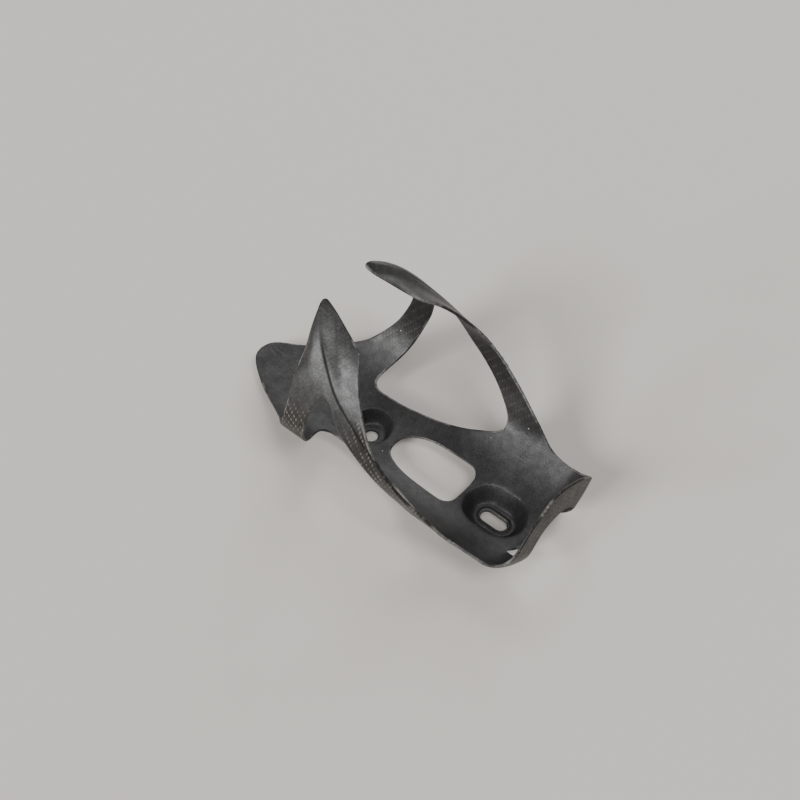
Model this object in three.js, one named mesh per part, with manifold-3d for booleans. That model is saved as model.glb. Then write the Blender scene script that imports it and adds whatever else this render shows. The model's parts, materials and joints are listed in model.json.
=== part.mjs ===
// Carbon bottle cage, lying on its back. Millimetres. +X runs along the bottle towards its mouth,
// +Y is the left side seen from the bottle, and +Z points away from the bicycle's tube.
// Every shell piece follows one surface, the "envelope": a bottle of inner radius BOTTLE_R whose
// base edge is rounded. A place on it is (m, a): m is the distance along the bottle from the round
// bolt hole towards the base, and a is the angle in degrees round the bottle from the back.
import * as THREE from 'three';
import Module from 'manifold-3d';
import { mergeVertices } from 'three/addons/utils/BufferGeometryUtils.js';

const wasm = await Module();
wasm.setup();

// ---- driving dimensions ----
const BOTTLE_R = 37; // inner radius of the shell, for a 73 mm bottle
const SHELL_T = 1.2; // thickness of the laminate
const FLOOR_Z = 8; // height of the trough's floor over the bicycle's tube
const AXIS_Z = FLOOR_Z + BOTTLE_R; // height of the bottle's axis
const BOLT_SPACING = 64; // standard distance between the two cage bolts
const BASE_M = 90; // the foot's inner face, which the bottle's base rests on
const BASE_FILLET = 12; // rounded edge between the trough and the foot
const TONGUE_M = -61.6; // end of the tongue
const TONGUE_LIP = 1.6; // the tongue's end rises this much, into the groove of the bottle
const UPPER_BOLT_X = (BASE_M + SHELL_T + TONGUE_M) / 2; // puts the origin at the middle of the length
const GAP = 0.3; // clearance between neighbouring pieces
const TONGUE_SEAM_M = -32; // where the trough passes into the tongue
const SEAM_A = 47; // the wings bend along this angle
const WING_FRONT_M = -24.8; // the wing's root starts here
const WING_END_M = 66; // and ends here
const SIDE_END_A = 49.4; // half angle of the trough where it passes into the foot
const GAP_A = THREE.MathUtils.radToDeg(GAP / BOTTLE_R);

// ---- seats ----
const SEAT_T = 1.6; // thickness of a seat's flat bottom
const HOLE_R = 2.8; // clearance hole for an M5 bolt
const SLOT_R = 2.6;
const SLOT_HALF = 3.4; // half the distance between the slot's two end centres
const UPPER_FLAT_R = 5.8;
const UPPER_MOUTH_R = 8.8;
const LOWER_FLAT_R = 6.2;
const LOWER_MOUTH_R = 10.2;
const COLLAR_W = 1.9; // the slot's raised collar
const COLLAR_H = 0.4;
const COLLAR_BEVEL = 0.4;

const radians = THREE.MathUtils.degToRad;
const smooth = THREE.MathUtils.smoothstep;

// ---- outlines, as (m, a) points that a smooth curve passes through ----
const FRONT_EDGE = [
  [-32, 37.5], [-28, 42.3], [-24.8, 47], [-20, 57.4], [-16, 68], [-13, 80], [-10.8, 91], [-9.4, 102],
  [-9.2, 114], [-9.5, 128], [-10.2, 142], [-11.6, 154], [-13.4, 163.2],
];
const BLADE_REAR_EDGE = [[-13, 164.4], [-6, 162.4], [2, 157.4], [9.6, 151.8]];
const STRUT_REAR_EDGE = [
  [9.6, 151.8], [11.4, 147.5], [15, 138], [19, 128], [23, 118.7], [27, 110], [31, 102.1], [35, 95.3],
  [43, 83.4], [51, 72.8], [59, 62.4], [63, 57.2], [66, 53.9],
];
const WINDOW_SHORT_SIDE = [
  [-8.2, 47], [-6, 57], [-3, 75], [-0.8, 87], [0.8, 99], [2.6, 109], [4.4, 115.5], [7, 118.5],
];
const WINDOW_LONG_SIDE = [
  [46.4, 47], [45.9, 53], [43, 60.5], [38, 69], [32, 78], [26, 86.5], [20, 95], [14, 105.5], [10.4, 114],
  [7, 118.5],
];
// The fold between a wing's front and rear facets.
const CREASE = [[-14, 163], [-6, 148], [2, 134.6], [10, 122], [18, 112.8], [26, 104], [34, 95.5], [50, 78]];
const WINDOW_PLATE_SIDE = [
  [-11.9, 28.5], [-10.4, 24.4], [-7, 23], [0, 23.3], [6, 24], [19, 27.4], [30, 32.2], [38.2, 37.8],
  [43.4, 42], [45.9, 45.6],
];
const CENTRE_WINDOW_HALF = [
  [13, 0], [13.6, 3.2], [15.6, 5.8], [19.4, 7.8], [24, 9.2], [30, 10], [42, 10.4], [45.8, 9.8], [48, 7.4],
  [48.5, 4], [48.5, 0],
];
const TONGUE_HALF_WIDTH = [
  [-32, 22.5], [-40, 18.2], [-46, 14.9], [-52, 11.2], [-56.5, 8.2], [-59.4, 5.6], [-61, 3.1], [-61.6, 0.5],
];
// The foot's outlines are on the base plane: y, and the distance towards the tube from the axis.
const FOOT_RIM = [
  [33.2, 28.4], [29.8, 24.5], [27.6, 20.9], [24.8, 16.3], [21.8, 12.6], [17, 8], [13, 5.4], [9, 3.5],
  [5, 1.5], [0, 0.4],
];
const FOOT_INNER_EDGE = [
  [14.4, 41.2], [14.1, 33], [13.8, 24.8], [12.5, 22.1], [10.4, 20], [7.8, 17.7], [4.4, 16.1], [0, 15.6],
];

// ---- the envelope ----
// Radial offset of the wings from the bottle. The blade flares out towards its tip, as a lead-in, and
// both its facets drop away from the crease. The long strut presses on the bottle.
const FLARE = 4.8;
const LEVEL_A = 22; // in front of the crease the flare dies away over this many degrees
const LEVEL_START_M = 8;
const LEVEL_LENGTH = 18;
const REAR_DROP = 1.3;
const DROP_A = 13; // the rear drop is complete this many degrees behind the crease
const PRESS = 1.6;

function wingOffset(m, a) {
  const behind = a - heightAt(CREASE, m);
  const flare = FLARE * smooth(a, 94, 150) * smooth(-m, -12, 16);
  const ahead = THREE.MathUtils.clamp((LEVEL_START_M - m) / LEVEL_LENGTH, 0, 1);
  const level = smooth(-behind, 0, LEVEL_A) * ahead ** 2;
  const rear = REAR_DROP * smooth(behind, 0, DROP_A) * (1 - smooth(m, 4, 44));
  const press = PRESS * smooth(a, 46, 66) * smooth(m, 6, 24) * (1 - smooth(m, 52, 70));
  return flare * (1 - level) - rear - press;
}

// A point at (m, a), raised by n from the inner face towards the outside.
function envelope(m, a, n) {
  const angle = radians(Math.abs(a));
  const side = Math.sign(a) || 1;
  const tongueFlat = 1 - 0.45 * smooth(-m, 32, 50);
  let x = -m;
  let r = BOTTLE_R + wingOffset(m, Math.abs(a)) + n;
  const filletStart = BASE_M - BASE_FILLET;
  if (m > filletStart) {
    const turn = (m - filletStart) / BASE_FILLET;
    x = -filletStart - (BASE_FILLET + n) * Math.sin(turn);
    r = BOTTLE_R - BASE_FILLET + (BASE_FILLET + n) * Math.cos(turn);
  }
  const lip = TONGUE_LIP * smooth(-m, 50, 61);
  const rise = (r - n) * (1 - Math.cos(angle)) * tongueFlat + lip;
  const z = tongueFlat < 1 ? FLOOR_Z - n + rise : AXIS_Z - r * Math.cos(angle);
  return new THREE.Vector3(x + UPPER_BOLT_X, side * r * Math.sin(angle), z);
}

// A point of the foot from its place on the base plane: p sideways, q towards the tube, measured
// along the surface from the bottle's axis.
function footPoint(p, q, n) {
  const along = Math.hypot(p, q);
  const flatR = BOTTLE_R - BASE_FILLET;
  const turn = Math.min(Math.max((along - flatR) / BASE_FILLET, 0), Math.PI / 2);
  const past = Math.max(along - flatR - BASE_FILLET * Math.PI / 2, 0);
  const r = Math.min(along, flatR) + (BASE_FILLET + n) * Math.sin(turn);
  const x = -(BASE_M - BASE_FILLET) - (BASE_FILLET + n) * Math.cos(turn) + past;
  const scale = along > 1e-9 ? r / along : 1;
  return new THREE.Vector3(x + UPPER_BOLT_X, p * scale, AXIS_Z - q * scale);
}

// ---- solids from grids of points ----
function solidFromGrids(inner, outer, closed) {
  const rows = inner.length;
  const cols = inner[0].length;
  const positions = [];
  for (const grid of [inner, outer]) {
    for (const row of grid) {
      for (const point of row) positions.push(point.x, point.y, point.z);
    }
  }
  const at = (layer, i, j) => layer * rows * cols + (i % rows) * cols + j;
  const index = [];
  const quad = (a, b, c, d) => index.push(a, b, c, a, c, d);
  const lastRow = closed ? rows : rows - 1;
  for (let i = 0; i < lastRow; i += 1) {
    for (let j = 0; j < cols - 1; j += 1) {
      quad(at(0, i, j), at(0, i, j + 1), at(0, i + 1, j + 1), at(0, i + 1, j));
      quad(at(1, i, j), at(1, i + 1, j), at(1, i + 1, j + 1), at(1, i, j + 1));
    }
    quad(at(0, i, 0), at(0, i + 1, 0), at(1, i + 1, 0), at(1, i, 0));
    quad(at(0, i, cols - 1), at(1, i, cols - 1), at(1, i + 1, cols - 1), at(0, i + 1, cols - 1));
  }
  if (!closed) {
    for (let j = 0; j < cols - 1; j += 1) {
      quad(at(0, 0, j), at(1, 0, j), at(1, 0, j + 1), at(0, 0, j + 1));
      quad(at(0, rows - 1, j), at(0, rows - 1, j + 1), at(1, rows - 1, j + 1), at(1, rows - 1, j));
    }
  }
  const geometry = new THREE.BufferGeometry();
  geometry.setAttribute('position', new THREE.Float32BufferAttribute(positions, 3));
  geometry.setIndex(index);
  return facingOut(mergeVertices(geometry, 1e-4));
}

function facingOut(geometry) {
  const position = geometry.getAttribute('position');
  const index = geometry.getIndex().array;
  const corners = [new THREE.Vector3(), new THREE.Vector3(), new THREE.Vector3()];
  let volume = 0;
  for (let k = 0; k < index.length; k += 3) {
    corners.forEach((corner, c) => corner.fromBufferAttribute(position, index[k + c]));
    volume += corners[0].dot(corners[1].clone().cross(corners[2]));
  }
  if (volume < 0) {
    for (let k = 0; k < index.length; k += 3) {
      [index[k + 1], index[k + 2]] = [index[k + 2], index[k + 1]];
    }
  }
  return geometry;
}

function toManifold(geometry) {
  const vertProperties = Float32Array.from(geometry.getAttribute('position').array);
  const triVerts = Uint32Array.from(geometry.getIndex().array);
  return new wasm.Manifold(new wasm.Mesh({ numProp: 3, vertProperties, triVerts }));
}

function fromManifold(solid) {
  const mesh = solid.getMesh();
  const geometry = new THREE.BufferGeometry();
  geometry.setAttribute('position', new THREE.Float32BufferAttribute(mesh.vertProperties, 3));
  geometry.setIndex(Array.from(mesh.triVerts));
  return geometry;
}

function cut(body, cutters) {
  const solids = cutters.map(toManifold);
  return fromManifold(solids.reduce((left, cutter) => left.subtract(cutter), toManifold(body)));
}

// ---- curves ----
// Evenly spaced values, both ends included.
function spread(from, to, count) {
  return Array.from({ length: count + 1 }, (_, k) => from + (to - from) * k / count);
}

function curveThrough(points) {
  return new THREE.SplineCurve(points.map(([m, a]) => new THREE.Vector2(m, a)));
}

function sample(points, count) {
  const curve = curveThrough(points);
  return Array.from({ length: count + 1 }, (_, k) => curve.getPoint(k / count));
}

const fineSamples = new Map();

// The value of a curve's second coordinate where its first coordinate is m.
function heightAt(points, m) {
  if (!fineSamples.has(points)) fineSamples.set(points, sample(points, 120));
  const fine = fineSamples.get(points);
  for (let k = 0; k < fine.length - 1; k += 1) {
    const [p, q] = [fine[k], fine[k + 1]];
    if ((m - p.x) * (m - q.x) <= 0 && p.x !== q.x) return p.y + (q.y - p.y) * (m - p.x) / (q.x - p.x);
  }
  return Math.abs(m - fine[0].x) < Math.abs(m - fine.at(-1).x) ? fine[0].y : fine.at(-1).y;
}

// The part of an outline between two angles, as samples equally spaced in angle.
function between(points, fromA, toA, count) {
  const swapped = points.map(([m, a]) => [a, m]);
  return Array.from({ length: count + 1 }, (_, k) => {
    const a = fromA + (toA - fromA) * k / count;
    return new THREE.Vector2(heightAt(swapped, a), a);
  });
}

// A ribbon of shell between two edges on the envelope, mirrored to the right side when side is -1.
function ribbon(edgeA, edgeB, across, side, place = envelope) {
  const layer = (n) => edgeA.map((start, k) => Array.from({ length: across + 1 }, (_, j) => {
    const point = start.clone().lerp(edgeB[k], j / across);
    const placed = place(point.x, point.y, n, k);
    placed.y *= side;
    return placed;
  }));
  return solidFromGrids(layer(0), layer(SHELL_T), false);
}

// ---- the back plate ----
const PLATE_TOP_M = TONGUE_SEAM_M + GAP;
const PLATE_END_M = BASE_M - BASE_FILLET;
const FLOOR_END_BULGE = 5.9; // the floor's rounded end reaches this far past the side walls
const FLOOR_END_A = 16.8;
const ROOT_SWELL_A = 1.8; // the side walls are this much taller just behind the wings
const ROOT_SWELL_LENGTH = 8;
const CUT_PAST = 3; // the cutters reach this far past what they cut

function plateHalfAngle(m) {
  if (m < WING_FRONT_M) return heightAt(FRONT_EDGE, m);
  if (m < WING_END_M + GAP) return SEAM_A;
  return SIDE_END_A + ROOT_SWELL_A * (1 - smooth(m, WING_END_M, WING_END_M + ROOT_SWELL_LENGTH));
}

function plateBody() {
  const steps = [
    ...spread(PLATE_TOP_M, WING_FRONT_M, 2).slice(0, -1),
    ...spread(WING_FRONT_M, WING_END_M, 20),
    ...spread(WING_END_M + GAP, PLATE_END_M, 3),
  ];
  const layer = (n) => steps.map((m) => spread(-1, 1, 24).map((across) => {
    const a = plateHalfAngle(m) * across;
    const late = Math.max(0, (m - WING_END_M) / (PLATE_END_M - WING_END_M));
    const bulge = Math.max(0, 1 - (a / FLOOR_END_A) ** 2) * FLOOR_END_BULGE * late;
    return envelope(m + bulge, a, n);
  }));
  return solidFromGrids(layer(0), layer(SHELL_T), false);
}

const SEAT_DEPTH = 12; // the prisms reach this far above the trough's floor

// A tall prism through the trough's floor, whose outline is a ring of (x, y) points.
function prism(ring, centreX) {
  const shape = new THREE.Shape(ring.map(([x, y]) => new THREE.Vector2(x, y)));
  const geometry = new THREE.ExtrudeGeometry(shape, { depth: FLOOR_Z + SEAT_DEPTH, bevelEnabled: false });
  geometry.deleteAttribute('normal');
  geometry.deleteAttribute('uv');
  geometry.translate(centreX + UPPER_BOLT_X, 0, 0);
  return facingOut(mergeVertices(geometry, 1e-4));
}

function centreWindow() {
  const half = sample(CENTRE_WINDOW_HALF, 18).map((point) => [-point.x, Math.max(point.y, 0)]);
  const mirrored = half.slice(1, -1).reverse().map(([x, y]) => [x, -y]);
  return prism([...half, ...mirrored], 0);
}

// The side window, cut through the plate between its plate side and the seam.
function sideWindow(side) {
  const plateSide = sample(WINDOW_PLATE_SIDE, 26);
  const front = WINDOW_SHORT_SIDE[0][0];
  const end = WINDOW_LONG_SIDE[0][0];
  const seamSide = spread(front, end, 26).map((m) => new THREE.Vector2(m, SEAM_A + CUT_PAST));
  const layer = (n) => plateSide.map((start, k) => spread(0, 1, 5).map((t) => {
    const point = start.clone().lerp(seamSide[k], t);
    const placed = envelope(point.x, point.y, n);
    placed.y *= side;
    return placed;
  }));
  return solidFromGrids(layer(-CUT_PAST), layer(SHELL_T + CUT_PAST), false);
}

function stadium(radius, half, count = 32) {
  return Array.from({ length: count }, (_, k) => {
    const turn = (k + 0.5) / count * 2 * Math.PI;
    return [Math.sign(Math.cos(turn)) * half + radius * Math.cos(turn), radius * Math.sin(turn)];
  });
}

function backPlate() {
  const cutters = [
    centreWindow(),
    sideWindow(1),
    sideWindow(-1),
    prism(stadium(UPPER_MOUTH_R + GAP, 0), 0),
    prism(stadium(LOWER_MOUTH_R + GAP, SLOT_HALF), -BOLT_SPACING),
  ];
  return cut(plateBody(), cutters);
}

// ---- bolt seats ----
// A cup: rings of equal outline, each as [radius, top height, bottom height]. A null height is the shell's.
function boltSeat(centreX, half, rings) {
  const shellZ = (y, n) => AXIS_Z - Math.sqrt((BOTTLE_R + n) ** 2 - y * y);
  const layer = (which) => Array.from({ length: 32 }, (_, k) => rings.map((ring) => {
    const [x, y] = stadium(ring[0], half)[k];
    const flush = shellZ(y, which === 1 ? 0 : SHELL_T);
    return new THREE.Vector3(x + centreX + UPPER_BOLT_X, y, ring[which] ?? flush);
  }));
  return solidFromGrids(layer(1), layer(2), true);
}

function upperSeat() {
  return boltSeat(0, 0, [
    [HOLE_R, SEAT_T, 0],
    [UPPER_FLAT_R, SEAT_T, 0],
    [UPPER_FLAT_R + 1.2, SEAT_T + 2, 1.2],
    [UPPER_MOUTH_R - 0.9, FLOOR_Z - 1.3, FLOOR_Z - 3.6],
    [UPPER_MOUTH_R, null, null],
  ]);
}

function lowerSeat() {
  return boltSeat(-BOLT_SPACING, SLOT_HALF, [
    [SLOT_R, SEAT_T + COLLAR_H, 0],
    [SLOT_R + COLLAR_W, SEAT_T + COLLAR_H, 0],
    [SLOT_R + COLLAR_W + COLLAR_BEVEL, SEAT_T, 0],
    [LOWER_FLAT_R, SEAT_T, 0],
    [LOWER_FLAT_R + 1.9, SEAT_T + 2.4, 1.3],
    [LOWER_MOUTH_R - 1, FLOOR_Z - 1.2, FLOOR_Z - 3.6],
    [LOWER_MOUTH_R, null, null],
  ]);
}

// ---- tongue, foot and wings ----
function topTongue() {
  const half = sample(TONGUE_HALF_WIDTH, 14);
  const toAngle = (width) => THREE.MathUtils.radToDeg(Math.asin(width / BOTTLE_R));
  const left = half.map((point) => new THREE.Vector2(point.x, toAngle(point.y)));
  const right = left.map((point) => new THREE.Vector2(point.x, -point.y));
  return ribbon(left, right, 12, 1);
}

// The foot's seam with the trough is this far from the base plane's middle, along the surface.
const FOOT_SEAM = BOTTLE_R - BASE_FILLET + BASE_FILLET * Math.PI / 2 - GAP;
const SQUARE_ROWS = 5;


// The first rows are pulled onto the round seam, so that the foot meets the plate squarely.
function footPlace(edgePoints) {
  const pull = (k) => 1 - smooth(k, 0, SQUARE_ROWS);
  return (p, q, n, k) => {
    const toSeam = FOOT_SEAM / Math.hypot(p, q);
    const scale = THREE.MathUtils.lerp(1, toSeam, pull(Math.min(k, edgePoints - 1 - k)));
    return footPoint(p * scale, q * scale, n);
  };
}

function bottomStop() {
  const flip = (point) => new THREE.Vector2(-point.x, point.y);
  const whole = (outline) => {
    const half = sample(outline, 18);
    return [...half, ...half.slice(0, -1).reverse().map(flip)];
  };
  const rim = whole(FOOT_RIM);
  return ribbon(rim, whole(FOOT_INNER_EDGE), 5, 1, footPlace(rim.length));
}

const BLADE_SEAM_FRONT = new THREE.Vector2(-9.2, 113); // the blade starts on a line from here
const BLADE_SEAM_REAR = new THREE.Vector2(19, 128); // to here
const APEX_M = WINDOW_SHORT_SIDE.at(-1)[0]; // the side window's top, where the two struts meet
const BLADE_CORNER_A = BLADE_REAR_EDGE.at(-1)[1];
const BLADE_TIP_A = 163.4;

function bladeSeam(m, lift) {
  const t = (m - BLADE_SEAM_FRONT.x) / (BLADE_SEAM_REAR.x - BLADE_SEAM_FRONT.x);
  return new THREE.Vector2(m, BLADE_SEAM_FRONT.y + (BLADE_SEAM_REAR.y - BLADE_SEAM_FRONT.y) * t + lift);
}

function shortArm(side) {
  const root = SEAM_A + GAP_A;
  const front = between(FRONT_EDGE, root, BLADE_SEAM_FRONT.y, 14);
  const rear = sample(WINDOW_SHORT_SIDE, 13);
  rear[0].y = root;
  rear.push(bladeSeam(APEX_M - GAP / 2, 0));
  return ribbon(front, rear, 4, side);
}

function longArm(side) {
  const root = SEAM_A + GAP_A;
  const inner = sample(WINDOW_LONG_SIDE, 19);
  inner[0].y = root;
  inner.at(-1).x += GAP;
  inner.push(bladeSeam(APEX_M + GAP / 2, 0));
  const corner = new THREE.Vector2(WING_END_M, root);
  const outer = [corner, ...between(STRUT_REAR_EDGE, STRUT_REAR_EDGE.at(-1)[1], BLADE_SEAM_REAR.y, 19)];
  return ribbon(inner, outer, 4, side);
}

function blade(side) {
  const front = between(FRONT_EDGE, BLADE_SEAM_FRONT.y + GAP_A, BLADE_TIP_A, 14);
  front[0] = bladeSeam(BLADE_SEAM_FRONT.x, GAP_A);
  const strutPart = between(STRUT_REAR_EDGE, BLADE_SEAM_REAR.y + GAP_A, BLADE_CORNER_A, 6);
  const rear = [...strutPart, ...sample(BLADE_REAR_EDGE, 8).reverse().slice(1)];
  return ribbon(front, rear, 6, side);
}

// ---- the assembly ----
const SATIN_CARBON = { color: 0x2b2c2d, roughness: 0.5, metalness: 0.0 };
const MATT_CARBON = { color: 0x303133, roughness: 0.62, metalness: 0.0 };

const cage = new THREE.Group();

function add(name, geometry, look) {
  const mesh = new THREE.Mesh(geometry, new THREE.MeshStandardMaterial(look));
  mesh.name = name;
  cage.add(mesh);
}

add('back_plate', backPlate(), MATT_CARBON);
add('top_tongue', topTongue(), MATT_CARBON);
add('bottom_stop', bottomStop(), SATIN_CARBON);
add('upper_bolt_seat', upperSeat(), MATT_CARBON);
add('lower_bolt_seat', lowerSeat(), MATT_CARBON);
for (const [label, side] of [['left', 1], ['right', -1]]) {
  add(`${label}_short_arm`, shortArm(side), SATIN_CARBON);
  add(`${label}_long_arm`, longArm(side), SATIN_CARBON);
  add(`${label}_blade`, blade(side), SATIN_CARBON);
}

export default cage;
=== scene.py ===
import json
import math

import bpy
import numpy as np
from mathutils import Matrix, Vector
from mathutils.geometry import delaunay_2d_cdt
from mathutils.kdtree import KDTree


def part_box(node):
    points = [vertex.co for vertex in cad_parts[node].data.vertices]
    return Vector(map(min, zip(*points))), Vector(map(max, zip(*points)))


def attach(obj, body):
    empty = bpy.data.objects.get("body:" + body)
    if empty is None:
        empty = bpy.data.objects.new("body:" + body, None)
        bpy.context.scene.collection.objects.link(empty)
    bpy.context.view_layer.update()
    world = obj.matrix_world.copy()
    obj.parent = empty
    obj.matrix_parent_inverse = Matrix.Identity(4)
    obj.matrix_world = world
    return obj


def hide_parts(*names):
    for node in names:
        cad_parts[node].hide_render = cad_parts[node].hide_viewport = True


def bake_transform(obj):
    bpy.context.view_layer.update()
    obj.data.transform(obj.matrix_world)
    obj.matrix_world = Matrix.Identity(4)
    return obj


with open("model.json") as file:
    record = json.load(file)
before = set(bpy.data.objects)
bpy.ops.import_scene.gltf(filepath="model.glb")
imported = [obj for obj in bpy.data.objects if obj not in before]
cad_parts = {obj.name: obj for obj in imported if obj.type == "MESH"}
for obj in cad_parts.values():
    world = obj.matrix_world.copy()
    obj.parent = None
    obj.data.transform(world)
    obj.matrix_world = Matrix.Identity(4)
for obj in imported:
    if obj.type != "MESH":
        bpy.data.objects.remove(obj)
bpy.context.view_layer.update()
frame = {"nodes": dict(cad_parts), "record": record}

MM = 0.001

# ---- driving dimensions, as the CAD has them ----
BOTTLE_R = 37.0
SHELL_T = 1.2
FLOOR_Z = 8.0
AXIS_Z = FLOOR_Z + BOTTLE_R
BOLT_SPACING = 64.0
BASE_M = 90.0
BASE_FILLET = 12.0
FILLET_M = BASE_M - BASE_FILLET
FOOT_SEAM_R = BOTTLE_R - BASE_FILLET + BASE_FILLET * math.pi / 2
TONGUE_LIP = 1.6
SEAM_A = 47.0
TONGUE_SEAM_M = -32.0
WING_END_M = 66.0
seat_low, seat_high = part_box("upper_bolt_seat")
UPPER_BOLT_X = (seat_low.x + seat_high.x) / 2 / MM

# ---- outlines, as (m, a) points that a smooth curve passes through, if nothing else is said ----
FRONT_EDGE = [
    (-32, 37.5), (-28, 42.3), (-24.8, 47), (-20, 57.4), (-16, 68), (-13, 80), (-10.8, 91), (-9.4, 102),
    (-9.2, 114), (-9.5, 128), (-10.2, 142), (-11.6, 154), (-13, 161), (-13.2, 163.6),
]
BLADE_REAR_EDGE = [(-13.2, 163.6), (-12.6, 164.9), (-11.2, 165), (-6, 162.6), (2, 157.4), (9.6, 151.8)]
STRUT_REAR_EDGE = [
    (9.6, 151.8), (11.4, 147.5), (15, 138), (19, 128), (23, 118.7), (27, 110), (31, 102.1), (35, 95.3),
    (43, 83.4), (51, 72.8), (59, 62.4), (63, 57.2), (67, 53), (72, 50.4), (78, 49.4),
]
SIDE_WINDOW = [
    (-3, 75), (-0.8, 87), (0.8, 99), (2.6, 109), (4.4, 115.5), (7, 118.5), (10.4, 114), (14, 105.5),
    (20, 95), (26, 86.5), (32, 78), (38, 69), (43, 60.5), (45.9, 53), (46.4, 47), (45.9, 45.6), (43.4, 42),
    (38.2, 37.8), (30, 32.2), (19, 27.4), (6, 24), (0, 23.3), (-7, 23), (-10.4, 24.4), (-11.9, 28.5),
    (-10.6, 37), (-8.2, 47), (-6, 57),
]
# The fold along each wing.
CREASE = [(-14, 163), (-6, 148), (2, 134.6), (10, 122), (18, 112.8), (26, 104), (34, 95.5), (50, 78)]
BLADE_SEAM = [(-9.2, 113), (19, 128)]  # a straight line
APEX_M = 7.0  # the two arms of a wing meet here, below the blade
APEX_SEAM_A = (118.0, 121.5)
WING_SEAM_START_M = -30.0  # these three seams are drawn past the outline and cut off at it
WING_SEAM_END_A = 56.0
TONGUE_SEAM_A = 40.0
# Two outlines as (m, y) points, as seen from straight above.
TONGUE_HALF_WIDTH = [
    (-61.6, 0), (-61, 3.1), (-59.4, 5.6), (-56.5, 8.2), (-52, 11.2), (-46, 14.9), (-40, 18.2), (-32, 22.5),
]
CENTRE_WINDOW_HALF = [
    (13, 0), (13.6, 3.2), (15.6, 5.8), (19.4, 7.8), (24, 9.2), (30, 10), (42, 10.4), (45.8, 9.8), (48, 7.4),
    (48.5, 4), (48.5, 0),
]
STRAP_A = 19.3  # the foot's straps leave the trough between these two angles
SIDE_END_A = 49.4
CORNER_M = 78.8  # the drain window's corner between a strap and the floor's rounded end
FLOOR_END_M = 83.9
# The foot's outlines: y, and the distance towards the tube from the axis.
FOOT_RIM = [
    (29.8, 24.5), (27.6, 20.9), (24.8, 16.3), (21.8, 12.6), (17, 8), (13, 5.4), (9, 3.5), (5, 1.5), (0, 0.4),
]
FOOT_INNER_EDGE = [
    (14.1, 33), (13.8, 24.8), (12.5, 22.1), (10.4, 20), (7.8, 17.7), (4.4, 16.1), (0, 15.6),
]

# ---- bolt seats ----
# A seat is a cup pressed into the floor: flat inside flat_r, and level with the floor again at mouth_r.
# m is its place, hole its opening's radius, and half the distance from its middle to each end of the slot.
HOLE_R = 2.8
SLOT_R = 2.6
SLOT_HALF = 3.4
SEAT_T = 1.6
UPPER_SEAT = {
    "name": "upper_bolt_seat", "m": 0.0, "half": 0.0, "hole": HOLE_R, "flat_r": 5.6, "mouth_r": 9.2,
}
LOWER_SEAT = {
    "name": "lower_bolt_seat", "m": BOLT_SPACING, "half": SLOT_HALF, "hole": SLOT_R, "flat_r": 5.3,
    "mouth_r": 10.9,
}
SEATS = (UPPER_SEAT, LOWER_SEAT)
SEAT_EDGE = {"upper_bolt_seat": 8.9, "lower_bolt_seat": 10.3}  # where the seat's own piece ends
COLLAR_H = 0.4  # the slot's raised collar
COLLAR_R = 3.9
COLLAR_BEVEL = 0.5
WALL_SHIFT = 1.1  # the cup's outer wall stands this far outside its inner wall
CUP_REACH_Y = 14.0  # only the floor within this distance of the middle takes part in a cup

# ---- the shape of the wings: how far the skin leaves the bottle's cylinder, and over which m and a ----
FLARE = 4.8  # outwards, towards the tips
FLARE_A = (94, 150)
FLARE_UP = (-12, 16)  # UP: distance from the round bolt hole's place towards the bottle's mouth
LEVEL_A = 22.0  # in front of the crease the flare dies away over this many degrees
LEVEL_START_M = 8.0
LEVEL_LENGTH = 18.0
REAR_DROP = 1.3  # inwards, behind the crease
DROP_A = 13.0
DROP_FADE_M = (4, 44)
PRESS = 1.6  # inwards, along the long arm
PRESS_A = (46, 66)
PRESS_RISE_M = (6, 24)
PRESS_FADE_M = (52, 70)
GROOVE_DEPTH = 0.26  # the crease's fine groove in the outer skin
GROOVE_WIDTH = 0.7
GROOVE_A = (84, 104)
GROOVE_FADE_M = (26, 44)
GROOVE_TIP_UP = (0, 8)

# ---- the tongue: flatter than the bottle, with a lift at its end ----
TONGUE_FLATTER = 0.45
TONGUE_FLATTER_UP = (32, 50)
TONGUE_LIP_UP = (50, 61)

# ---- where the weave shows, from 0 to 1 ----
WEAVE_FAINT = 0.16
WEAVE_ARM_A = (44, 56)
WEAVE_ARM_LOSS = 0.85
WEAVE_ARM_LOSS_A = (88, 112)
WEAVE_ARM_FADE_M = (30, 60)
WEAVE_STRUT = 0.75
WEAVE_STRUT_A = (50, 64)
WEAVE_STRUT_FADE_A = (112, 122)
WEAVE_STRUT_M = (14, 26)
WEAVE_FOOT_GAIN = 0.74
WEAVE_FOOT_FADE = (1, 11)  # distance from the seam with the trough

# ---- mesh density ----
EDGE_STEP = 0.75
GRID_STEP = 1.25
GRID_CLEAR = 0.62  # grid points stay this share of a step away from every line
RING_STEP = 0.55
RING_FIRST = 0.8  # from a bolt hole's edge to the first ring of points round it
RING_EVEN = 1.4  # from the same edge to the second ring, from where they are RING_STEP apart
RING_POINTS = 96
CREASE_STEP = 0.6
CREASE_LINES = (-0.6, 0.0, 0.6, 1.2, 1.8)  # lines of points beside the crease, which the groove needs
CREASE_LINES_END_M = 40
CURVE_STEPS = 24
FLOOR_END_STEPS = 21
CORNER_STEPS = 3
SAME_POINT = 1e-6
WELD_DISTANCE = 1e-3
MERGE_DISTANCE = 1e-5
SMALLEST_R = 1e-9  # these two keep a division by zero away
TINY = 1e-12

# ---- the rounded rim ----
RIM_ROUND = 0.5
RIM_ANGLES = [-62, -34, -11, 11, 34, 62]


def smooth(x, low, high):
    """From 0 at low to 1 at high, with a soft start and end."""
    t = np.clip((x - low) / (high - low), 0, 1)
    return t * t * (3 - 2 * t)


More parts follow.
